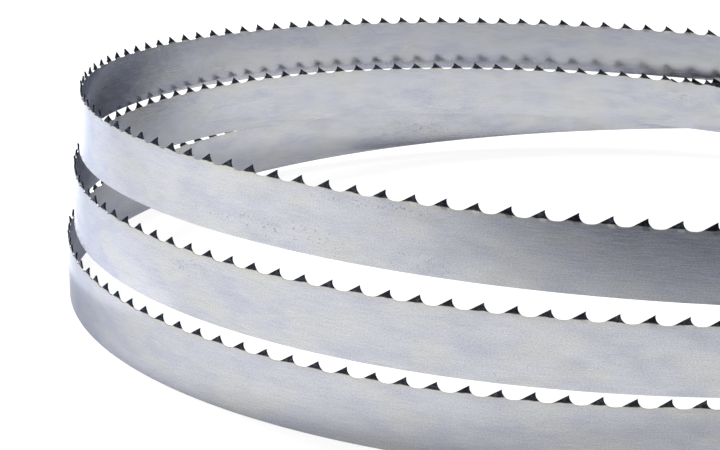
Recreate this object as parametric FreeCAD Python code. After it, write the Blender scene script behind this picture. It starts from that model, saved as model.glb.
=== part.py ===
import FreeCAD
import Part

import math
import os

from FreeCAD import Vector

# An endless band saw blade, coiled in three turns and lying on its back edge.
# Lengths are in millimetres and angles in degrees.
# The floor is the plane Z = 0. The coil is shaped round the Z axis, then moved sideways until its
# outline is centred there.
# Angles run clockwise seen from above, along the whole band, from the bottom turn's front (-Y):
# the bottom turn is 0 to 360, the top turn 360 to 720 and the middle turn 720 to 1080.

DRIVING_SIZES = {
    # the strip
    "BladeWidth": 20.6,
    "BladeThickness": 0.5,
    # the teeth: three to the inch, hooked, their upper halves bent alternately to either side
    "ToothPitch": 8.467,
    "ToothDepth": 2.6,
    "RakeAngle": 0.0,
    "StraightFace": 0.3,
    "GulletFloor": 0.8,
    "ToothSet": 0.2,
    "SetDepth": 1.3,
    "FirstTip": 6.4,
    # the coil: its radius, and how far each turn lies outside it at four places
    "CoilRadius": 180.4,
    "BottomFrontOffset": -1.4,
    "BottomLeftOffset": 2.8,
    "BottomFarOffset": -1.5,
    "BottomRightOffset": 5.8,
    "TopFrontOffset": -5.3,
    "TopLeftOffset": 0.1,
    "TopFarOffset": 5.5,
    "TopRightOffset": 9.5,
    "MiddleFrontOffset": 1.3,
    "MiddleLeftOffset": 0.6,
    "MiddleFarOffset": -7.7,
    "MiddleRightOffset": -9.8,
    # the air between a turn's teeth and the turn above, where they lie over each other
    "LowerGap": 2.0,
    "UpperGap": 3.7,
    # where along the band it climbs from the floor to the top, and comes down in two stages
    "ClimbStartAngle": 82.0,
    "ClimbEndAngle": 419.0,
    "FirstFallStartAngle": 376.0,
    "FirstFallEndAngle": 626.0,
    "SecondFallStartAngle": 782.0,
    "SecondFallEndAngle": 1015.0,
}

QUARTERS = [turn + place + "Offset"
            for turn in ("Bottom", "Top", "Middle")
            for place in ("Front", "Left", "Far", "Right")]
BAND_ANGLE = 1080.0
QUARTER_ANGLE = 90.0
RIGHT_ANGLE = 90.0
# a tooth's back, if it ran on straight, would reach the gullet's floor half way to the next tip
BACK_SHARE = 0.5
SAMPLE_ANGLE = 4.0
# how far the curves run on past their ends, so that the two ends meet smoothly
OVERLAP_SAMPLES = 24
OVERLAP_STATIONS = 24
# the back edge is one flat face over this many teeth to either side of the bottom turn's front
LEVEL_TEETH = 12
OTHER_STRETCHES = 11


def makeSheet(doc):
    sheet = doc.addObject("Spreadsheet::Sheet", "Sizes")
    for row, (name, value) in enumerate(DRIVING_SIZES.items(), start=1):
        sheet.set("A%d" % row, name)
        sheet.set("B%d" % row, str(value))
        sheet.setAlias("B%d" % row, name)
    doc.recompute()
    return sheet


def smoothStep(angle, start, end):
    # rises from 0 to 1 with no kink or jump in curvature at either end
    share = min(max((angle - start) / (end - start), 0.0), 1.0)
    return share ** 3 * (10.0 - 15.0 * share + 6.0 * share ** 2)


def backEdgeHeight(sheet, angle):
    # the back edge lies on the floor, climbs two levels and comes down one level at a time
    middleLevel = sheet.BladeWidth + sheet.LowerGap
    topLevel = middleLevel + sheet.BladeWidth + sheet.UpperGap
    along = angle % BAND_ANGLE
    climb = smoothStep(along, sheet.ClimbStartAngle, sheet.ClimbEndAngle)
    firstFall = smoothStep(along, sheet.FirstFallStartAngle, sheet.FirstFallEndAngle)
    secondFall = smoothStep(along, sheet.SecondFallStartAngle, sheet.SecondFallEndAngle)
    return topLevel * climb - (topLevel - middleLevel) * firstFall - middleLevel * secondFall


def radiusCurve(sheet):
    # X holds the radius and the parameter counts quarter turns
    # one band length more at each end makes the two ends meet smoothly
    quarters = range(-len(QUARTERS), 2 * len(QUARTERS) + 1)
    points = [Vector(sheet.CoilRadius + getattr(sheet, QUARTERS[quarter % len(QUARTERS)]), quarter, 0)
              for quarter in quarters]
    curve = Part.BSplineCurve()
    curve.interpolate(Points=points, Parameters=[float(quarter) for quarter in quarters])
    return curve


def backEdgeCurve(sheet):
    # the middle of the back edge, its parameter counting samples
    radii = radiusCurve(sheet)
    sampleCount = int(BAND_ANGLE / SAMPLE_ANGLE)
    samples = range(-OVERLAP_SAMPLES, sampleCount + OVERLAP_SAMPLES + 1)
    points = []
    for sample in samples:
        angle = sample * SAMPLE_ANGLE
        radius = radii.value(angle / QUARTER_ANGLE).x
        turned = math.radians(angle)
        height = backEdgeHeight(sheet, angle)
        points.append(Vector(-radius * math.sin(turned), -radius * math.cos(turned), height))
    curve = Part.BSplineCurve()
    curve.interpolate(Points=points, Parameters=[float(sample) for sample in samples])
    return curve, float(sampleCount)


class Strip:
    # The strip as rulings, one at each tooth pitch: its place on the back edge, the way up across
    # the strip and the way out of its outer face. The ruling is square to the way the band turns,
    # as in a flat strip that is bent without stretching.

    def __init__(self, sheet):
        curve, lastSample = backEdgeCurve(sheet)
        length = curve.length(0.0, lastSample)
        # an even number of teeth, because they are set alternately
        self.teeth = 2 * round(length / sheet.ToothPitch / 2)
        self.pitch = length / self.teeth
        self.rulings = [self.rulingAt(curve, station) for station in range(self.teeth)]

    def rulingAt(self, curve, station):
        place, heading, bend = curve.getD2(curve.parameterAtDistance(station * self.pitch, 0.0))
        up = bend.cross(heading).normalize()
        out = up.cross(heading).normalize()
        return place, up, out

    def rail(self, height, side):
        # a line along the strip at a height above the back edge, moved out by side
        stations = range(-OVERLAP_STATIONS, self.teeth + OVERLAP_STATIONS + 1)
        points = []
        for station in stations:
            place, up, out = self.rulings[station % self.teeth]
            points.append(place + up * height + out * side)
        curve = Part.BSplineCurve()
        curve.interpolate(Points=points, Parameters=[station * self.pitch for station in stations])
        return curve

    def skin(self, low, high):
        # the ruled surface between two rails, each given by its height and side
        # its two parameters are the length along the strip and the height across it
        lowRail = self.rail(*low)
        highRail = self.rail(*high)
        surface = Part.BSplineSurface()
        surface.buildFromPolesMultsKnots(
            [[a, b] for a, b in zip(lowRail.getPoles(), highRail.getPoles())],
            lowRail.getMultiplicities(), [2, 2],
            lowRail.getKnots(), [low[0], high[0]], False, False, 3, 1)
        return surface


def stretch(skin, start, end):
    # the part of a skin between two lengths along the strip
    piece = skin.copy()
    low, high = skin.bounds()[2:]
    piece.segment(start, end, low, high)
    return piece


class ToothForm:
    # The outline from one tip to the next, on the strip laid flat: X along the strip, Y across it.
    # From its tip a tooth falls along its straight back, round the heel to the gullet's floor,
    # and round the gullet up to the short straight face of the next tooth.

    def __init__(self, sheet, pitch):
        backRun = BACK_SHARE * pitch
        back = math.atan(sheet.ToothDepth / backRun)
        faceHeading = math.radians(RIGHT_ANGLE + sheet.RakeAngle)
        tipHeight = sheet.BladeWidth
        floorHeight = tipHeight - sheet.ToothDepth
        # the gullet's arc rises from the floor to the face's foot
        gullet = (sheet.ToothDepth - sheet.StraightFace) / (1.0 - math.cos(faceHeading))
        faceFoot = -sheet.StraightFace / math.tan(faceHeading)
        gulletFoot = pitch + faceFoot - gullet * math.sin(faceHeading)
        # the heel's arc touches the back and the floor, and takes up the run that is left
        heelRun = gulletFoot - sheet.GulletFloor - backRun
        heel = heelRun / math.tan(back / 2.0)
        backFoot = backRun - heelRun * math.cos(back)
        # the tooth is bent sideways along a level line, from the gullet's arc to the back
        self.bendHeight = tipHeight - sheet.SetDepth
        bendHeading = math.acos(1.0 - (self.bendHeight - floorHeight) / gullet)
        nextFaceBend = gulletFoot + gullet * math.sin(bendHeading)
        self.tip = (0.0, tipHeight)
        self.backBend = (sheet.SetDepth / math.tan(back), self.bendHeight)
        self.backFoot = (backFoot, tipHeight - backFoot * math.tan(back))
        self.heelFoot = (backRun + heelRun, floorHeight)
        self.gulletFoot = (gulletFoot, floorHeight)
        self.faceBend = (nextFaceBend - pitch, self.bendHeight)
        self.faceFoot = (faceFoot, tipHeight - sheet.StraightFace)
        self.heelArc = self.arc(self.backFoot, -back, self.heelFoot, 0.0, heel)
        self.gulletArc = self.arc(self.gulletFoot, 0.0, (nextFaceBend, self.bendHeight), bendHeading, gullet)
        self.faceArc = self.arc(self.faceBend, bendHeading, self.faceFoot, faceHeading, gullet)

    def arc(self, start, startHeading, end, endHeading, radius):
        # the four control points of a cubic that follows an arc to a thousandth of its radius
        handle = 4.0 / 3.0 * math.tan((endHeading - startHeading) / 4.0) * radius
        afterStart = (start[0] + handle * math.cos(startHeading), start[1] + handle * math.sin(startHeading))
        beforeEnd = (end[0] - handle * math.cos(endHeading), end[1] - handle * math.sin(endHeading))
        return start, afterStart, beforeEnd, end


def moved(point, along):
    return FreeCAD.Base.Vector2d(point[0] + along, point[1])


def lineOn(surface, start, end, along):
    return Part.Geom2d.Line2dSegment(moved(start, along), moved(end, along)).toShape(surface)


def arcOn(surface, controlPoints, along):
    curve = Part.Geom2d.BezierCurve2d()
    curve.setPoles([moved(point, along) for point in controlPoints])
    return curve.toShape(surface)


def descentEdges(surface, form, along):
    # the edges from a tooth's bend line down its back and along the gullet's floor
    return [
        lineOn(surface, form.backBend, form.backFoot, along),
        arcOn(surface, form.heelArc, along),
        lineOn(surface, form.heelFoot, form.gulletFoot, along),
    ]


def toothEdges(surface, form, along):
    # the face and the back of one tooth above its bend line
    return [
        arcOn(surface, form.faceArc, along),
        lineOn(surface, form.faceFoot, form.tip, along),
        lineOn(surface, form.tip, form.backBend, along),
    ]


def flatWall(outerEdge, innerEdge):
    # a flat face between two edges that run the same way
    ends = [Part.makeLine(outerEdge.Vertexes[end].Point, innerEdge.Vertexes[end].Point) for end in (0, 1)]
    return Part.Face(Part.Wire([outerEdge, ends[1], innerEdge, ends[0]]))


def buildBlade(sheet):
    strip = Strip(sheet)
    form = ToothForm(sheet, strip.pitch)
    halfThickness = sheet.BladeThickness / 2.0
    width = sheet.BladeWidth
    bodySkins = []
    toothSkins = []
    for side in (halfThickness, -halfThickness):
        bodySkins.append(strip.skin((0.0, side), (width, side)))
        # a tooth's skin leans from its bend line to a tip set to one side or the other
        toothSkins.append([strip.skin((form.bendHeight, side), (width, side + toothSet))
                           for toothSet in (-sheet.ToothSet, sheet.ToothSet)])

    def tipAt(tooth):
        return sheet.FirstTip + tooth * strip.pitch

    # the body, in a few long stretches that end at the gullets, with its walls in the gullets
    # the first one lies level round the bottom turn's front, and stands on a flat face
    faces = []
    otherTeeth = strip.teeth - 2 * LEVEL_TEETH
    seams = [-LEVEL_TEETH] + [LEVEL_TEETH + round(share * otherTeeth / OTHER_STRETCHES)
                              for share in range(OTHER_STRETCHES + 1)]
    for first, last in zip(seams[:-1], seams[1:]):
        backEdges = []
        gulletRuns = []
        startTop = (form.gulletFoot[0] + tipAt(first), form.gulletFoot[1])
        endTop = (form.gulletFoot[0] + tipAt(last), form.gulletFoot[1])
        startBottom = (startTop[0], 0.0)
        endBottom = (endTop[0], 0.0)
        for wholeSkin in bodySkins:
            run = []
            outline = []
            skin = stretch(wholeSkin, startTop[0], endTop[0])
            for tooth in range(first, last):
                arc = arcOn(skin, form.gulletArc, tipAt(tooth))
                descent = descentEdges(skin, form, tipAt(tooth + 1))
                chord = lineOn(skin, form.faceBend, form.backBend, tipAt(tooth + 1))
                run += [arc] + descent
                outline += [arc, chord] + descent
            backEdge = lineOn(skin, endBottom, startBottom, 0.0)
            outline += [lineOn(skin, endTop, endBottom, 0.0), backEdge,
                        lineOn(skin, startBottom, startTop, 0.0)]
            faces.append(Part.Face(skin, Part.Wire(outline)))
            backEdges.append(backEdge)
            gulletRuns.append(run)
        backWall = flatWall if first < 0 else Part.makeRuledSurface
        faces.append(backWall(*backEdges))
        faces += [Part.makeRuledSurface(outer, inner) for outer, inner in zip(*gulletRuns)]

    # the tooth points above their bend lines
    for tooth in range(1, strip.teeth + 1):
        tip = tipAt(tooth)
        pointEdges = []
        for skins in toothSkins:
            skin = stretch(skins[tooth % 2], tip + form.faceBend[0], tip + form.backBend[0])
            edges = toothEdges(skin, form, tip)
            chord = lineOn(skin, form.backBend, form.faceBend, tip)
            faces.append(Part.Face(skin, Part.Wire(edges + [chord])))
            pointEdges.append(edges)
        faces += [Part.makeRuledSurface(outer, inner) for outer, inner in zip(*pointEdges)]

    shell = Part.makeShell(faces)
    shell.sewShape()
    return Part.makeSolid(shell)


def checkDocument(doc):
    for item in doc.Objects:
        if "Invalid" in item.State or "Error" in item.State:
            raise RuntimeError("%s failed: %s" % (item.Label, item.State))


def main():
    doc = FreeCAD.newDocument("BandSawBlade")
    sheet = makeSheet(doc)
    blade = doc.addObject("Part::Feature", "Blade")
    blade.Label = "blade"
    blade.Shape = buildBlade(sheet)
    # the origin is on the floor in the middle of the coil's outline
    middle = blade.Shape.BoundBox.Center
    blade.Placement = FreeCAD.Placement(Vector(-middle.x, -middle.y, 0.0), FreeCAD.Rotation())
    doc.recompute()
    checkDocument(doc)
    if blade.Shape.isNull() or not blade.Shape.isValid() or len(blade.Shape.Solids) != 1:
        raise RuntimeError("the blade is not one valid solid")
    os.makedirs("parts", exist_ok=True)
    blade.Shape.exportStep("parts/%s.step" % blade.Label)
    box = blade.Shape.BoundBox
    print("blade: %.1f x %.1f x %.1f mm" % (box.XLength, box.YLength, box.ZLength))
    print("volume: %.0f mm3" % blade.Shape.Volume)


main()
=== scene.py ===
import math
import bpy
import numpy as np
from mathutils import Matrix, Vector


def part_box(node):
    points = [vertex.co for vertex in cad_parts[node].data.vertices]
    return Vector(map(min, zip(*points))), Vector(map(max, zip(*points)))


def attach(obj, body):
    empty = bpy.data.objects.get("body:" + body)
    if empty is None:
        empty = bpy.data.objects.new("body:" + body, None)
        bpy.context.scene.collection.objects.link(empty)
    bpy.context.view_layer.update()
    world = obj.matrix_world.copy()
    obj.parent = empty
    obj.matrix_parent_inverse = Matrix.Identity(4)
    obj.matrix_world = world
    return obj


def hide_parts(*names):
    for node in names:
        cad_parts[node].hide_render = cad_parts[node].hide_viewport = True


# A band saw blade: one endless strip of toothed steel, coiled in three turns on its back edge.
# Everything is in metres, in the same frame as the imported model.

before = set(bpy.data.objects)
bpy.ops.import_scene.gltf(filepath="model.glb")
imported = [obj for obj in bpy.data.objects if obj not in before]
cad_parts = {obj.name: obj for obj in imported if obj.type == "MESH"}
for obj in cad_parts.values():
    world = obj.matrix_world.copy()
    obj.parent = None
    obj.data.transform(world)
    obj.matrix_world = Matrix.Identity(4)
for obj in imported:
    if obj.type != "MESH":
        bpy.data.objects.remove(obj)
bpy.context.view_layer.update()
scene = bpy.context.scene
mm = 0.001
print("frame loaded")

strip = {
    "width": 20.6 * mm,
    "thickness": 0.5 * mm,
    "toothPitch": 8.467 * mm,
    "toothDepth": 2.6 * mm,
    "backShare": 0.5,           # of the pitch: where a straight back would meet the gullet's floor
    "straightFace": 0.3 * mm,
    "gulletFloor": 0.8 * mm,
    "toothSet": 0.2 * mm,       # how far a tip stands out to its side
    "setDepth": 1.3 * mm,       # the part of a tooth that is bent over, from its tip down
    "edgeRound": 0.04 * mm,     # broken edge all round the outline
    "firstTip": 6.4 * mm,       # along the band from the bottom turn's front
}

coil = {
    "radius": 180.4 * mm,
    # how far each turn lies outside that radius at its front, left, far side and right
    "bottom": (-1.4 * mm, 2.8 * mm, -1.5 * mm, 5.8 * mm),
    "top": (-5.3 * mm, 0.1 * mm, 5.5 * mm, 9.5 * mm),
    "middle": (1.3 * mm, 0.6 * mm, -7.7 * mm, -9.8 * mm),
    "lowerGap": 2.0 * mm,       # air over the bottom turn's teeth
    "upperGap": 3.7 * mm,       # air over the middle turn's teeth
    # degrees along the band, clockwise from the bottom turn's front, 360 for each turn
    "wholeBand": 1080.0,
    "climb": (82.0, 419.0),
    "firstFall": (376.0, 626.0),
    "secondFall": (782.0, 1015.0),
    "weldAngle": 262.0,         # where the strip's ends are joined, on the right, inside the turns
}

meshing = {
    "samplesPerDegree": 20,     # of the band's path
    "pastEnds": 40.0,           # degrees by which the path runs on past both ends
    "heelPoints": 4,
    "gulletPoints": 8,
    "evened": 0.3,              # share by which a tooth's columns are evened out
    "evenedAtBend": 0.5,        # the same along the line where the tooth is bent
    "belowGullet": 0.45 * mm,   # how far the bend row lies under a gullet
    "plainHeight": 17.2 * mm,   # below this the strip has no trace of the teeth
    "plainRow": 0.6 * mm,       # a second plain row lies this far below the first
    "sharpAngle": 28.0,         # degrees between faces that don't shade smoothly
}


# The strip's path

def smoothStep(angle, start, end):
    # 0 before start, 1 after end, and 6t^5 - 15t^4 + 10t^3 of the share t between them
    share = np.clip((angle - start) / (end - start), 0.0, 1.0)
    return share ** 3 * (10.0 - 15.0 * share + 6.0 * share ** 2)


def backEdgeHeight(angle):
    # up two levels in one climb, down one level in each fall
    onBand = np.mod(angle, coil["wholeBand"])
    middleLevel = strip["width"] + coil["lowerGap"]
    step = strip["width"] + coil["upperGap"]
    return ((middleLevel + step) * smoothStep(onBand, *coil["climb"])
            - step * smoothStep(onBand, *coil["firstFall"])
            - middleLevel * smoothStep(onBand, *coil["secondFall"]))


def closedSpline(values, where):
    # the smooth closed curve through values at whole numbers: its slopes m solve
    # m[i-1] + 4 m[i] + m[i+1] = 3 (v[i+1] - v[i-1]), and cubic pieces join value and slope
    count = len(values)
    nextOne = np.roll(np.arange(count), -1)
    lastOne = np.roll(np.arange(count), 1)
    system = 4.0 * np.eye(count)
    system[np.arange(count), nextOne] += 1.0
    system[np.arange(count), lastOne] += 1.0
    slopes = np.linalg.solve(system, 3.0 * (values[nextOne] - values[lastOne]))
    cell = np.floor(where).astype(int)
    t = where - cell
    a = cell % count
    b = (cell + 1) % count
    return (values[a] * (1 + 2 * t) * (1 - t) ** 2 + slopes[a] * t * (1 - t) ** 2
            + values[b] * t ** 2 * (3 - 2 * t) + slopes[b] * t ** 2 * (t - 1))


def unit(vectors):
    return vectors / np.linalg.norm(vectors, axis=1)[:, None]


def bandPath():
    # the back edge as points, with the way up the strip, the way out of its outer face and the
    # length along the band; the way up is square to the heading and to the way it changes
    degrees = np.arange(-meshing["pastEnds"], coil["wholeBand"] + meshing["pastEnds"],
                        1.0 / meshing["samplesPerDegree"])
    # one offset for each quarter of a turn
    offsets = np.array(coil["bottom"] + coil["top"] + coil["middle"])
    radius = coil["radius"] + closedSpline(offsets, degrees / 90.0)
    turned = np.radians(degrees)
    place = np.stack([-radius * np.sin(turned), -radius * np.cos(turned), backEdgeHeight(degrees)], 1)
    heading = np.gradient(place, turned, axis=0)
    up = unit(np.cross(np.gradient(heading, turned, axis=0), heading))
    out = unit(np.cross(up, heading))
    steps = np.linalg.norm(np.diff(place, axis=0), axis=1)
    length = np.concatenate([[0.0], np.cumsum(steps)])
    length -= np.interp(0.0, degrees, length)
    return {"degrees": degrees, "length": length, "place": place, "up": up, "out": out,
            "total": float(np.interp(coil["wholeBand"], degrees, length))}


def along(path, key, length):
    # a value of the path at lengths along the endless band
    wrapped = np.mod(length, path["total"])
    return np.stack([np.interp(wrapped, path["length"], path[key][:, axis]) for axis in range(3)], -1)


# The tooth outline on the flat strip

def arcPoints(centre, radius, startAngle, endAngle, count):
    # points evenly spread on an arc, its angles in degrees
    angles = np.radians(np.linspace(startAngle, endAngle, count))
    return np.stack([centre[0] + radius * np.cos(angles), centre[1] + radius * np.sin(angles)], 1)


def toothOutline(pitch):
    # from one tip to the next: straight back, heel arc, gullet floor, gullet arc, straight face
    top = strip["width"]
    floorHeight = top - strip["toothDepth"]
    backRun = strip["backShare"] * pitch
    back = math.atan(strip["toothDepth"] / backRun)
    gullet = strip["toothDepth"] - strip["straightFace"]
    heelRun = pitch - gullet - strip["gulletFloor"] - backRun
    heel = heelRun / math.tan(back / 2.0)
    bendRun = strip["setDepth"] / math.tan(back)
    backX = np.array([0.0, 0.5 * bendRun, bendRun, backRun - heelRun * math.cos(back)])
    backLine = np.stack([backX, top - backX * math.tan(back)], 1)
    heelArc = arcPoints((backRun + heelRun, floorHeight + heel), heel,
                        -90.0 - math.degrees(back), -90.0, meshing["heelPoints"])
    gulletArc = arcPoints((pitch - gullet, floorHeight + gullet), gullet,
                          -90.0, 0.0, meshing["gulletPoints"])
    return np.concatenate([backLine, heelArc[1:], gulletArc])


def outlineInset(outline, pitch):
    # every point of the outline moved into the metal, square to the line through its neighbours
    before = np.concatenate([outline[-1:] - [pitch, 0.0], outline[:-1]])
    after = np.concatenate([outline[1:], outline[:1] + [pitch, 0.0]])
    ahead = unit(after - before)
    return outline + strip["edgeRound"] * np.stack([ahead[:, 1], -ahead[:, 0]], 1)


def bendPoints(outline, pitch):
    # where a column crosses the line along which the teeth are bent: under a tooth its points are
    # spread along that line, and under a gullet they lie a little below the outline
    bendHeight = strip["width"] - strip["setDepth"]
    bendX = outline[:, 0].copy()
    bendZ = outline[:, 1] - meshing["belowGullet"]
    above = outline[:, 1] >= bendHeight - 1e-9      # the points on the line itself count too
    onFace = outline[:, 0] > pitch / 2.0
    around = np.where(onFace, outline[:, 0] - pitch, outline[:, 0])
    # the points of one tooth, from its face over the tip to its back
    order = np.concatenate([np.flatnonzero(above & onFace), np.flatnonzero(above & ~onFace)])
    even = np.linspace(around[order[0]], around[order[-1]], len(order))
    evened = meshing["evenedAtBend"]
    mixed = evened * even + (1.0 - evened) * around[order]
    bendX[order] = np.where(onFace[order], mixed + pitch, mixed)
    bendZ[order] = bendHeight
    bendZ[order[0]] -= strip["edgeRound"]
    bendZ[order[-1]] -= strip["edgeRound"]
    return np.stack([bendX, bendZ], 1)


def bladeGrid(path):
    # a surface of two parameters: the outline's points along the band, and the way round the
    # strip's section, which goes up the outer face, over the toothed edge and down the inner face
    teeth = 2 * round(path["total"] / strip["toothPitch"] / 2)
    pitch = path["total"] / teeth
    outline = toothOutline(pitch)
    perTooth = len(outline)
    # the columns stand nearly upright, a little evened out where the outline turns steeply
    evened = meshing["evened"]
    columnX = ((1.0 - evened) * outline[:, 0]
               + evened * np.linspace(0.0, pitch, perTooth, endpoint=False))

    def level(height):
        return np.stack([columnX, np.full(perTooth, height)], 1)

    half = strip["thickness"] / 2.0
    edge = strip["edgeRound"]
    inset = outlineInset(outline, pitch)
    bend = bendPoints(outline, pitch)
    plain = level(meshing["plainHeight"])
    lower = level(meshing["plainHeight"] - meshing["plainRow"])
    foot = level(edge)
    base = level(0.0)
    # the rows, each with the side of the strip's middle on which it lies
    rows = ((foot, half), (lower, half), (plain, half), (bend, half), (inset, half),
            (outline, half - edge), (outline, edge - half),
            (inset, -half), (bend, -half), (plain, -half), (lower, -half), (foot, -half),
            (base, edge - half), (base, half - edge))
    weldLength = np.interp(coil["weldAngle"], path["degrees"], path["length"])
    firstTooth = round((weldLength - strip["firstTip"]) / pitch)
    toothStart = np.repeat(np.arange(teeth) * pitch, perTooth)[:, None]
    x = np.tile(np.stack([points[:, 0] for points, side in rows], 1), (teeth, 1)) + toothStart
    height = np.tile(np.stack([points[:, 1] for points, side in rows], 1), (teeth, 1))
    sides = np.array([side for points, side in rows])
    # a tooth leans sideways above its bend line, the even ones inwards and the odd ones outwards
    bendHeight = strip["width"] - strip["setDepth"]
    lean = np.clip((height - bendHeight) / strip["setDepth"], 0.0, None)
    hand = np.where((np.floor(x / pitch + 0.5).astype(int) + firstTooth) % 2 == 0, -1.0, 1.0)
    return {"x": x, "height": height, "side": sides[None, :] + hand * lean * strip["toothSet"],
            "start": strip["firstTip"] + firstTooth * pitch, "teeth": teeth}


def bladeMesh(path, grid):
    # a point of the grid lies on the path at its length, its height up the strip and its side out
    lengths = grid["start"] + grid["x"]
    points = (along(path, "place", lengths) + along(path, "up", lengths) * grid["height"][..., None]
              + along(path, "out", lengths) * grid["side"][..., None])
    columns, rows = grid["x"].shape
    points = points.reshape(-1, 3)
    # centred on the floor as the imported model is
    lowest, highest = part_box("blade")
    middle = (points.min(0) + points.max(0)) / 2.0
    points[:, 0] += (lowest.x + highest.x) / 2.0 - middle[0]
    points[:, 1] += (lowest.y + highest.y) / 2.0 - middle[1]
    # four-cornered faces; the last column joins the first at the weld
    column = np.arange(columns)[:, None]
    row = np.arange(rows)[None, :]
    nextRow = (row + 1) % rows
    nextColumn = (column + 1) % columns
    faces = np.stack(np.broadcast_arrays(column * rows + row, column * rows + nextRow,
                                         nextColumn * rows + nextRow, nextColumn * rows + row), -1)
    faces = faces.reshape(-1, 4)
    mesh = bpy.data.meshes.new("blade")
    mesh.vertices.add(len(points))
    mesh.vertices.foreach_set("co", points.astype(np.float32).ravel())
    mesh.loops.add(faces.size)
    mesh.loops.foreach_set("vertex_index", faces.ravel().astype(np.int32))
    mesh.polygons.add(len(faces))
    mesh.polygons.foreach_set("loop_start", np.arange(0, faces.size, 4, dtype=np.int32))
    # the strip laid flat, in metres: U along the band from the weld, V up from the back edge
    flatX = np.concatenate([grid["x"], grid["x"][:1] + path["total"]])
    flatZ = np.concatenate([grid["height"], grid["height"][:1]])
    after = column + 1
    flat = [np.stack(np.broadcast_arrays(values[column, row], values[column, nextRow],
                                         values[after, nextRow], values[after, row]), -1)
            for values in (flatX, flatZ)]
    layer = mesh.uv_layers.new(name="strip")
    layer.data.foreach_set("uv", np.stack(flat, -1).reshape(-1).astype(np.float32))
    mesh.update(calc_edges=True)
    mesh.polygons.foreach_set("use_smooth", np.ones(len(faces), dtype=bool))
    mesh.set_sharp_from_angle(angle=math.radians(meshing["sharpAngle"]))
    print("blade:", grid["teeth"], "teeth,", len(faces), "faces")
    return mesh


def addBlade(path, grid):
    blade = bpy.data.objects.new("sawBlade", bladeMesh(path, grid))
    scene.collection.objects.link(blade)
    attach(blade, "root")
    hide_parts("blade")
    return blade


path = bandPath()
grid = bladeGrid(path)
blade = addBlade(path, grid)
print("blade made")


# The steel

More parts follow.
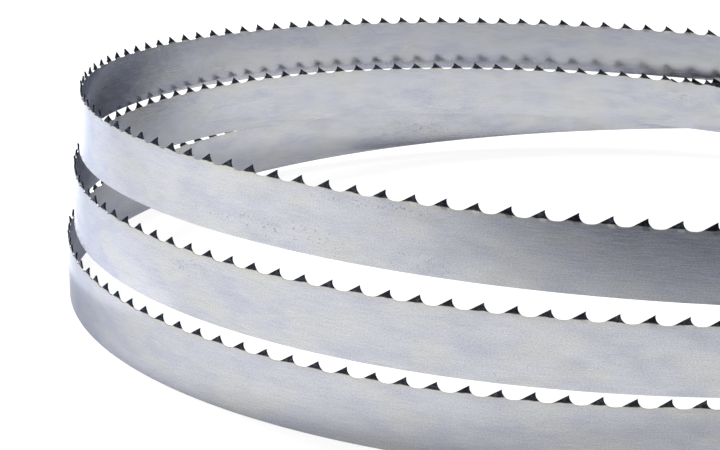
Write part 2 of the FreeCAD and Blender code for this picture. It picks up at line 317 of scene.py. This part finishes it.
# A cloud of noise on the flat strip has a size along and across it, and an offset that sets it
# apart from the others. Where the noise goes through "between", the effect goes through "gives".
steel = {
    "polished": (0.585, 0.595, 0.645, 1.0),
    "edgeTint": (0.42, 0.44, 0.50, 1.0),        # how much it mirrors at a glance
    "roughness": {"between": (0.35, 0.7), "gives": (0.19, 0.25)},      # with the lavender patches
    # rolling grain along the strip, bent a little by a slow wave
    "wave": {"size": (30.0 * mm, 12.0 * mm), "detail": 1.0},
    "waveShift": 0.9 * mm,
    "fineGrain": {"size": (5.5 * mm, 0.24 * mm), "detail": 3.0},
    "coarseGrain": {"size": (19.25 * mm, 0.96 * mm), "detail": 2.0},
    "fineShare": 0.75,
    "grainShade": {"between": (0.34, 0.66), "gives": (-0.07, 0.07)},
    "grainRoughness": {"between": (0.35, 0.65), "gives": (-0.02, 0.03)},
    # soft patches left by oil and handling, and a fine speckle
    "lavender": (0.520, 0.530, 0.610, 1.0),
    "lavenderPatches": {"size": (14.4 * mm, 5.4 * mm), "detail": 3.0,
                        "between": (0.42, 0.66), "gives": (0.0, 0.75)},
    "greenish": (0.610, 0.615, 0.610, 1.0),
    "greenishPatches": {"size": (23.4 * mm, 9.0 * mm), "detail": 2.0, "offset": (3.1, 7.7, 0.0),
                        "between": (0.44, 0.66), "gives": (0.0, 0.8)},
    "speckle": {"size": (0.50 * mm, 0.38 * mm), "detail": 3.0,
                "between": (0.3, 0.7), "gives": (0.90, 1.10)},
    # dark specks: the pattern's cell along and across, and a speck's radius as a share of it
    "stain": (0.20, 0.20, 0.21, 1.0),
    "stainShare": 0.75,
    "smallSpecks": {"size": (0.85 * mm, 0.65 * mm), "radius": 0.36},
    "wideSpecks": {"size": (2.4 * mm, 1.7 * mm), "radius": 0.17, "offset": (0.4, 0.7, 0.0)},
    "loneSpecks": {"size": (7.0 * mm, 5.0 * mm), "radius": 0.035, "offset": (0.2, 0.1, 0.0)},
    "speckCore": 0.4,           # share of the radius that is full strength
    "raggedScale": 2.3,         # noise to the cell that makes a speck ragged
    "raggedShift": 0.9,         # how much of a cell it moves the rim
    # where specks stand: in loose clusters, thinned out, and in pitted places
    "clusters": {"size": (30.0 * mm, 9.0 * mm), "detail": 2.0, "offset": (5.3, 1.9, 0.0),
                 "between": (0.60, 0.75), "gives": (0.0, 0.6)},
    "thinning": {"size": (3.0 * mm, 2.0 * mm), "detail": 2.0, "offset": (2.2, 9.1, 0.0),
                 "between": (0.42, 0.60), "gives": (0.0, 1.0)},
    # degrees along the band, height, and half their length and height
    "pitted": ((393.0, 4.5 * mm, 34.0 * mm, 5.0 * mm), (378.0, 3.0 * mm, 14.0 * mm, 3.5 * mm),
               (382.0, 16.0 * mm, 30.0 * mm, 2.0 * mm), (762.0, 14.0 * mm, 16.0 * mm, 5.0 * mm),
               (640.0, 9.0 * mm, 25.0 * mm, 5.0 * mm), (150.0, 6.0 * mm, 30.0 * mm, 5.0 * mm),
               (905.0, 12.0 * mm, 25.0 * mm, 5.0 * mm)),
    "pittedCore": 0.35,         # share of a pitted place that is full of specks
    # hardened tooth points, a straw tint below them, and the unsteady line of the heating
    "hardened": (0.024, 0.028, 0.035, 1.0),
    "hardenedPale": (0.075, 0.082, 0.095, 1.0),
    "hardenedScale": {"size": (1.1 * mm, 0.9 * mm), "detail": 3.0,
                      "between": (0.45, 0.7), "gives": (0.0, 1.0)},
    "hardenedRoughness": 0.36,
    "hardenedLine": 2.15 * mm,  # below the tips
    "hardenedFade": (0.16 * mm, 0.16 * mm),     # below and above that line
    "straw": (0.56, 0.525, 0.43, 1.0),
    "strawShare": 0.40,
    "strawLine": 3.3 * mm,
    "strawFade": (0.5 * mm, 0.8 * mm),
    "lineDip": {"size": (5.0 * mm, 3.0 * mm), "detail": 2.0,
                "between": (0.3, 0.7), "gives": (-0.18 * mm, 0.18 * mm)},
    # the weld: a ground band across the strip
    "weldTint": (0.30, 0.27, 0.30, 1.0),
    "weldShare": 0.75,
    "weldFade": (5.0 * mm, 3.0 * mm),           # away from the weld, where it ends and is full
    "weldRoughness": 0.15,
    "bumpStrength": 0.25,
    "bumpDepth": 0.02 * mm,
    "pitDepth": 0.3,            # of a speck, where the grain is 1
}


def addNode(tree, kind, place, **values):
    node = tree.nodes.new(kind)
    node.location = place
    for name, value in values.items():
        setattr(node, name, value)
    return node


def feed(tree, value, socket):
    if isinstance(value, bpy.types.NodeSocket):
        tree.links.new(value, socket)
    else:
        socket.default_value = value


def mixColour(tree, factor, first, second, place, mode="MIX"):
    # a mix node's colours are its inputs 6 and 7 and its output 2
    node = addNode(tree, "ShaderNodeMix", place, data_type="RGBA", blend_type=mode)
    feed(tree, factor, node.inputs["Factor"])
    feed(tree, first, node.inputs[6])
    feed(tree, second, node.inputs[7])
    return node.outputs[2]


def calculate(tree, operation, first, second, place, clamp=False):
    node = addNode(tree, "ShaderNodeMath", place, operation=operation, use_clamp=clamp)
    feed(tree, first, node.inputs[0])
    feed(tree, second, node.inputs[1])
    return node.outputs[0]


def ramp(tree, value, between, place, gives=(0.0, 1.0)):
    # a smooth step that goes from the first to the second of gives
    node = addNode(tree, "ShaderNodeMapRange", place, interpolation_type="SMOOTHSTEP")
    feed(tree, value, node.inputs["Value"])
    for socket, number in zip(("From Min", "From Max", "To Min", "To Max"), (*between, *gives)):
        node.inputs[socket].default_value = number
    return node.outputs[0]


def onStrip(tree, where, pattern, place):
    # a place on the flat strip, counted in the pattern's own size
    spread = addNode(tree, "ShaderNodeMapping", place)
    spread.inputs["Scale"].default_value = (1.0 / pattern["size"][0], 1.0 / pattern["size"][1], 1.0)
    spread.inputs["Location"].default_value = pattern.get("offset", (0.0, 0.0, 0.0))
    tree.links.new(where, spread.inputs["Vector"])
    return spread.outputs[0]


def noise(tree, where, cloud, place):
    node = addNode(tree, "ShaderNodeTexNoise", (place[0] + 180, place[1]))
    node.inputs["Scale"].default_value = 1.0
    node.inputs["Detail"].default_value = cloud["detail"]
    tree.links.new(onStrip(tree, where, cloud, place), node.inputs["Vector"])
    return node.outputs[0]


def cloudStep(tree, where, cloud, place):
    return ramp(tree, noise(tree, where, cloud, place), cloud["between"],
                (place[0] + 500, place[1]), cloud["gives"])


def specks(tree, where, kind, place):
    # round dots, one to a cell and sharp enough to read as single specks, made ragged by noise
    spread = onStrip(tree, where, kind, place)
    ragged = addNode(tree, "ShaderNodeTexNoise", (place[0] + 160, place[1] - 150))
    ragged.inputs["Scale"].default_value = steel["raggedScale"]
    tree.links.new(spread, ragged.inputs["Vector"])
    moved = addNode(tree, "ShaderNodeVectorMath", (place[0] + 320, place[1]), operation="MULTIPLY_ADD")
    tree.links.new(ragged.outputs["Color"], moved.inputs[0])
    moved.inputs[1].default_value = (steel["raggedShift"], steel["raggedShift"], 0.0)
    tree.links.new(spread, moved.inputs[2])
    cells = addNode(tree, "ShaderNodeTexVoronoi", (place[0] + 480, place[1]))
    cells.inputs["Scale"].default_value = 1.0
    tree.links.new(moved.outputs[0], cells.inputs["Vector"])
    return ramp(tree, cells.outputs["Distance"], (kind["radius"], kind["radius"] * steel["speckCore"]),
                (place[0] + 640, place[1]))


def rollingGrain(tree, uv, x, height):
    wave = noise(tree, uv, steel["wave"], (-2400, -500))
    shift = calculate(tree, "MULTIPLY", wave, steel["waveShift"], (-2000, -500))
    flow = addNode(tree, "ShaderNodeCombineXYZ", (-1700, -500))
    tree.links.new(x, flow.inputs["X"])
    tree.links.new(calculate(tree, "ADD", shift, height, (-1850, -500)), flow.inputs["Y"])
    fine = noise(tree, flow.outputs[0], steel["fineGrain"], (-1500, -500))
    coarse = noise(tree, flow.outputs[0], steel["coarseGrain"], (-1500, -800))
    return calculate(tree, "ADD",
                     calculate(tree, "MULTIPLY", fine, steel["fineShare"], (-1100, -500)),
                     calculate(tree, "MULTIPLY", coarse, 1.0 - steel["fineShare"], (-1100, -800)),
                     (-950, -600))


def patchedColour(tree, uv, patches, grain):
    # the polished steel with its soft patches, shaded by the grain and the speckle
    lavender = steel["lavenderPatches"]
    colour = mixColour(tree, ramp(tree, patches, lavender["between"], (-1900, 500), lavender["gives"]),
                       steel["polished"], steel["lavender"], (-1700, 500))
    colour = mixColour(tree, cloudStep(tree, uv, steel["greenishPatches"], (-2400, 800)),
                       colour, steel["greenish"], (-1500, 600))
    grainShade = ramp(tree, grain, steel["grainShade"]["between"], (-900, -300),
                      steel["grainShade"]["gives"])
    shade = calculate(tree, "ADD", grainShade, cloudStep(tree, uv, steel["speckle"], (-2400, 1100)),
                      (-700, 200))
    shadeColour = addNode(tree, "ShaderNodeCombineXYZ", (-550, 200))
    for axis in range(3):
        tree.links.new(shade, shadeColour.inputs[axis])
    return mixColour(tree, 1.0, colour, shadeColour.outputs[0], (-400, 400), "MULTIPLY")


def pittedPlace(tree, uv, pit, row):
    # 1 inside an oval on the strip, fading to 0 at its rim
    angle, height, halfLength, halfHeight = pit
    length = np.interp(angle, path["degrees"], path["length"])
    away = addNode(tree, "ShaderNodeVectorMath", (-2200, row), operation="SUBTRACT")
    tree.links.new(uv, away.inputs[0])
    away.inputs[1].default_value = ((length - grid["start"]) % path["total"], height, 0.0)
    shares = addNode(tree, "ShaderNodeVectorMath", (-2000, row), operation="DIVIDE")
    tree.links.new(away.outputs[0], shares.inputs[0])
    shares.inputs[1].default_value = (halfLength, halfHeight, 1.0)
    far = addNode(tree, "ShaderNodeVectorMath", (-1800, row), operation="LENGTH")
    tree.links.new(shares.outputs[0], far.inputs[0])
    return ramp(tree, far.outputs["Value"], (1.0, steel["pittedCore"]), (-1600, row))


def darkSpots(tree, uv):
    cluster = cloudStep(tree, uv, steel["clusters"], (-2400, 1400))
    for number, pit in enumerate(steel["pitted"]):
        row = 2600 + 200 * number
        cluster = calculate(tree, "MAXIMUM", cluster, pittedPlace(tree, uv, pit, row), (-1400, row))
    cluster = calculate(tree, "MULTIPLY", cluster, cloudStep(tree, uv, steel["thinning"], (-2400, 2400)),
                        (-1200, 2600))
    small = specks(tree, uv, steel["smallSpecks"], (-2400, 1700))
    wide = specks(tree, uv, steel["wideSpecks"], (-2400, 2000))
    spots = calculate(tree, "MAXIMUM", small, wide, (-1500, 1700))
    spots = calculate(tree, "MULTIPLY", spots, cluster, (-1300, 1700))
    lone = specks(tree, uv, steel["loneSpecks"], (-2400, 2200))
    return calculate(tree, "MAXIMUM", spots, lone, (-1100, 1800))


def belowTips(tree, level, line, fade, place, gives=(0.0, 1.0)):
    # a smooth step over a line that lies that far below the tips
    middle = strip["width"] - line
    return ramp(tree, level, (middle - fade[0], middle + fade[1]), place, gives)


def steelMaterial():
    material = bpy.data.materials.new("springSteel")
    material.use_nodes = True
    tree = material.node_tree
    shader = tree.nodes["Principled BSDF"]
    shader.inputs["Metallic"].default_value = 1.0
    shader.inputs["Specular Tint"].default_value = steel["edgeTint"]
    uv = addNode(tree, "ShaderNodeUVMap", (-2600, 0), uv_map="strip").outputs[0]
    parts = addNode(tree, "ShaderNodeSeparateXYZ", (-2400, 0))
    tree.links.new(uv, parts.inputs[0])
    x, height = parts.outputs["X"], parts.outputs["Y"]

    grain = rollingGrain(tree, uv, x, height)
    patches = noise(tree, uv, steel["lavenderPatches"], (-2400, 500))
    spots = darkSpots(tree, uv)
    colour = patchedColour(tree, uv, patches, grain)
    colour = mixColour(tree, calculate(tree, "MULTIPLY", spots, steel["stainShare"], (-900, 1700)),
                       colour, steel["stain"], (-200, 600))

    # the heating left hard dark points, and a straw tint under them
    level = calculate(tree, "ADD", height, cloudStep(tree, uv, steel["lineDip"], (-2400, -1100)),
                      (-1700, -1100))
    straw = belowTips(tree, level, steel["strawLine"], steel["strawFade"], (-1500, -1100),
                      (0.0, steel["strawShare"]))
    colour = mixColour(tree, straw, colour, steel["straw"], (0, 500))
    hard = belowTips(tree, level, steel["hardenedLine"], steel["hardenedFade"], (-1500, -1400))
    points = mixColour(tree, cloudStep(tree, uv, steel["hardenedScale"], (-2400, -1400)),
                       steel["hardened"], steel["hardenedPale"], (-1300, -1400))
    colour = mixColour(tree, hard, colour, points, (200, 400))

    # the distance from the weld, where the strip's flat length starts and ends
    fromWeld = calculate(tree, "PINGPONG", x, path["total"] / 2.0, (-2200, -1700))
    weld = ramp(tree, fromWeld, steel["weldFade"], (-1800, -1700), (0.0, steel["weldShare"]))
    colour = mixColour(tree, weld, colour, steel["weldTint"], (400, 400))
    tree.links.new(colour, shader.inputs["Base Color"])

    rough = ramp(tree, patches, steel["roughness"]["between"], (-1900, 300), steel["roughness"]["gives"])
    rough = calculate(tree, "ADD", rough,
                      ramp(tree, grain, steel["grainRoughness"]["between"], (-900, -900),
                           steel["grainRoughness"]["gives"]), (-600, -600))
    rough = calculate(tree, "ADD", rough,
                      calculate(tree, "MULTIPLY", weld, steel["weldRoughness"], (-600, -900)), (-450, -600))
    # a mix node's plain numbers are its inputs 2 and 3
    roughMix = addNode(tree, "ShaderNodeMix", (-250, -500), data_type="FLOAT")
    tree.links.new(hard, roughMix.inputs["Factor"])
    tree.links.new(rough, roughMix.inputs[2])
    roughMix.inputs[3].default_value = steel["hardenedRoughness"]
    tree.links.new(roughMix.outputs[0], shader.inputs["Roughness"])

    pits = calculate(tree, "MULTIPLY", spots, steel["pitDepth"], (-700, -1100))
    bump = addNode(tree, "ShaderNodeBump", (-250, -900))
    bump.inputs["Strength"].default_value = steel["bumpStrength"]
    bump.inputs["Distance"].default_value = steel["bumpDepth"]
    tree.links.new(calculate(tree, "SUBTRACT", grain, pits, (-500, -1100)), bump.inputs["Height"])
    tree.links.new(bump.outputs[0], shader.inputs["Normal"])
    return material


blade.data.materials.append(steelMaterial())
print("steel made")


# The studio

studio = {
    "floorHalf": 4.0,
    "floorGrey": 0.80,
    "floorInReflections": 1.16,     # the paper's brightness in the steel, where it is lit
    "floorToCamera": (0.78, 0.42),  # plain white, and the share that keeps the shadow
    "worldLight": 0.5,
    "lampPower": 21.0,
    "lampPlace": (-0.85, 0.85, 1.35),
    "lampSize": (0.7, 0.7),
    # dark cards: the screen, the front card, and the painted shade inside the coil and at the far wall's
    # foot
    "darkPaper": (0.030, 0.044, 0.080, 1.0),
    # the glowing card's strength: a painted highlight in the steel
    "brightPaper": (3.0, 3.0, 3.0, 1.0),
}


def boxCorners(west, south, east, north, height=1.0 * mm):
    # a rectangle lying just over the floor
    return [(west, south, height), (east, south, height), (east, north, height), (west, north, height)]


def arcCorners(radius, turns, height):
    # points round the coil's middle, turned clockwise from its far side
    return [(radius * math.sin(turn), radius * math.cos(turn), height) for turn in turns]


farSide = np.radians(np.linspace(-38.0, 24.0, 25))

# cards that only the steel mirrors: dark cards, painted shade on the floor and a glowing card that paints a
# highlight;
# a card's strength goes from gives[0] to gives[1] while slope[0] x + slope[1] y goes from between[0] to
# between[1]
cards = {
    # a dark card in front of the coil, seen only in the steel, that makes the mirrored floor darker towards
    # the front and the right
    "front": {"corners": boxCorners(-0.9, -1.6, 1.6, -0.195), "paper": "darkPaper",
              "slope": (0.40, -1.0), "between": (0.300, 0.505), "gives": (0.0, 0.93)},
    # painted shade: a dark sheet on the floor inside the coil, where the turns shade it, seen only in the
    # steel and darker towards the right
    "inside": {"corners": arcCorners(0.170, np.arange(0.0, 2.0 * math.pi, 0.1), 1.0 * mm),
               "paper": "darkPaper",
               "slope": (1.0, 0.0), "between": (-0.03, 0.10), "gives": (0.13, 0.30)},
    # painted shadow: a dark sheet along the foot of the far wall inside the coil, where the wall shades the
    # floor, seen only in the steel
    "farFoot": {"corners": arcCorners(0.174, farSide, 2.0 * mm) + arcCorners(0.120, farSide[::-1], 2.0 * mm),
                "paper": "darkPaper",
                "slope": (-0.4, 1.0), "between": (0.148, 0.185), "gives": (0.0, 0.70)},
    # painted highlight: a glowing card on the floor behind the coil at the left, seen only in the steel,
    # that brightens its left ends
    "backLeft": {"corners": boxCorners(-1.2, -0.12, -0.190, 1.2), "paper": "brightPaper",
                 "slope": (1.0, 1.0), "between": (-0.350, -0.135), "gives": (0.0, 1.0)},
    # the screen stands upright behind the camera
    "screen": {"corners": [(-1.6, -1.6, 0.0), (1.6, -1.6, 0.0), (1.6, -1.6, 0.6), (-1.6, -1.6, 0.6)],
               "paper": "darkPaper",
               "slope": (0.0, -1.0), "between": (0.0, 0.5), "gives": (0.0, 1.0)},
}


def addPanel(name, corners, material):
    mesh = bpy.data.meshes.new(name)
    mesh.from_pydata(corners, [], [tuple(range(len(corners)))])
    panel = bpy.data.objects.new(name, mesh)
    panel.data.materials.append(material)
    scene.collection.objects.link(panel)
    return panel


def floorMaterial():
    material = bpy.data.materials.new("paper")
    material.use_nodes = True
    tree = material.node_tree
    tree.nodes.remove(tree.nodes["Principled BSDF"])
    shaded = addNode(tree, "ShaderNodeBsdfDiffuse", (-200, 200))
    white = addNode(tree, "ShaderNodeEmission", (-200, -100))
    rays = addNode(tree, "ShaderNodeLightPath", (-900, 0)).outputs
    whiteShare, shadedShare = studio["floorToCamera"]
    grey = studio["floorGrey"]
    # the shaded paper's brightness for each kind of ray
    seen = calculate(tree, "ADD", rays["Is Camera Ray"], rays["Is Transmission Ray"], (-700, -100),
                     clamp=True)
    forCamera = calculate(tree, "MULTIPLY", seen, shadedShare - grey, (-500, 200))
    forGloss = calculate(tree, "MULTIPLY", rays["Is Glossy Ray"], studio["floorInReflections"] - grey,
                         (-500, 0))
    level = calculate(tree, "ADD", forCamera, forGloss, (-350, 100))
    level = calculate(tree, "ADD", level, grey, (-200, 100))
    tree.links.new(level, shaded.inputs["Color"])
    tree.links.new(calculate(tree, "MULTIPLY", seen, whiteShare, (-350, -100)), white.inputs["Strength"])
    both = addNode(tree, "ShaderNodeAddShader", (0, 0))
    tree.links.new(shaded.outputs[0], both.inputs[0])
    tree.links.new(white.outputs[0], both.inputs[1])
    tree.links.new(both.outputs[0], tree.nodes["Material Output"].inputs["Surface"])
    return material


def cardMaterial(name, card):
    material = bpy.data.materials.new(name + "Paper")
    material.use_nodes = True
    tree = material.node_tree
    tree.nodes.remove(tree.nodes["Principled BSDF"])
    where = addNode(tree, "ShaderNodeTexCoord", (-1200, 0))
    ahead = addNode(tree, "ShaderNodeVectorMath", (-900, 0), operation="DOT_PRODUCT")
    tree.links.new(where.outputs["Object"], ahead.inputs[0])
    ahead.inputs[1].default_value = (*card["slope"], 0.0)
    share = addNode(tree, "ShaderNodeMapRange", (-600, 0))
    tree.links.new(ahead.outputs["Value"], share.inputs["Value"])
    for socket, number in zip(("From Min", "From Max", "To Min", "To Max"),
                              (*card["between"], *card["gives"])):
        share.inputs[socket].default_value = number
    # the card's emission paints the shade of the inside and far-foot cards and the highlight of the
    # back-left card, and gives the front card and the screen their dark
    paper = addNode(tree, "ShaderNodeEmission", (-400, -300))
    paper.inputs["Color"].default_value = studio[card["paper"]]
    clear = addNode(tree, "ShaderNodeBsdfTransparent", (-400, 200))
    both = addNode(tree, "ShaderNodeMixShader", (-100, 0))
    tree.links.new(share.outputs[0], both.inputs[0])
    tree.links.new(clear.outputs[0], both.inputs[1])
    tree.links.new(paper.outputs[0], both.inputs[2])
    tree.links.new(both.outputs[0], tree.nodes["Material Output"].inputs["Surface"])
    return material


def addCard(name, card):
    panel = addPanel(name + "Card", card["corners"], cardMaterial(name, card))
    panel.visible_camera = False
    panel.visible_diffuse = False
    panel.visible_shadow = False


def studioWorld():
    # white wherever it is seen, also in the steel, and plainer as a light
    world = scene.world or bpy.data.worlds.new("studio")
    scene.world = world
    world.use_nodes = True
    tree = world.node_tree
    rays = addNode(tree, "ShaderNodeLightPath", (-900, 0)).outputs
    seen = calculate(tree, "ADD", rays["Is Camera Ray"], rays["Is Glossy Ray"], (-700, 0))
    seen = calculate(tree, "ADD", seen, rays["Is Transmission Ray"], (-500, 0), clamp=True)
    level = calculate(tree, "MULTIPLY", seen, 1.0 - studio["worldLight"], (-350, 0))
    level = calculate(tree, "ADD", level, studio["worldLight"], (-200, 0))
    tree.nodes["Background"].inputs["Color"].default_value = (1.0, 1.0, 1.0, 1.0)
    tree.links.new(level, tree.nodes["Background"].inputs["Strength"])


def addLamp():
    # a square lamp behind the coil at the left, turned to its middle
    data = bpy.data.lights.new("behind", "AREA")
    data.shape = "RECTANGLE"
    data.size, data.size_y = studio["lampSize"]
    data.energy = studio["lampPower"]
    lamp = bpy.data.objects.new("behind", data)
    lamp.location = studio["lampPlace"]
    lamp.rotation_euler = (-Vector(studio["lampPlace"])).to_track_quat("-Z", "Y").to_euler()
    scene.collection.objects.link(lamp)


half = studio["floorHalf"]
addPanel("floor", boxCorners(-half, -half, half, half, 0.0), floorMaterial())
for name, card in cards.items():
    addCard(name, card)
studioWorld()
addLamp()
print("studio made")


# The camera, as the photograph was taken

view = {
    "focalPixels": 2189.0,
    "imageWidth": 720.0,
    "filmWidth": 36.0,      # in millimetres, as the camera's own lens length is
    "clip": (0.01, 50.0),
    "place": (-3.19 * mm, -695.75 * mm, 206.3 * mm),
    "pitch": 0.27099,       # radians downwards
    "yaw": -0.13047,        # to the left of straight on
    "roll": 0.00603,
}


def addCamera():
    camera = bpy.data.objects.new("camera", bpy.data.cameras.new("camera"))
    scene.collection.objects.link(camera)
    camera.data.sensor_fit = "HORIZONTAL"
    camera.data.sensor_width = view["filmWidth"]
    camera.data.lens = view["focalPixels"] / view["imageWidth"] * view["filmWidth"]
    camera.data.clip_start, camera.data.clip_end = view["clip"]
    pitch, yaw, roll = view["pitch"], view["yaw"], view["roll"]
    ahead = Vector((math.sin(yaw) * math.cos(pitch), math.cos(yaw) * math.cos(pitch), -math.sin(pitch)))
    level = Vector((math.cos(yaw), -math.sin(yaw), 0.0))
    upright = level.cross(ahead)
    right = level * math.cos(roll) + upright * math.sin(roll)
    up = upright * math.cos(roll) - level * math.sin(roll)
    turn = Matrix((right, up, -ahead)).transposed().to_4x4()
    camera.matrix_world = Matrix.Translation(Vector(view["place"])) @ turn
    scene.camera = camera


addCamera()
scene.view_settings.view_transform = "Standard"
print("camera set")
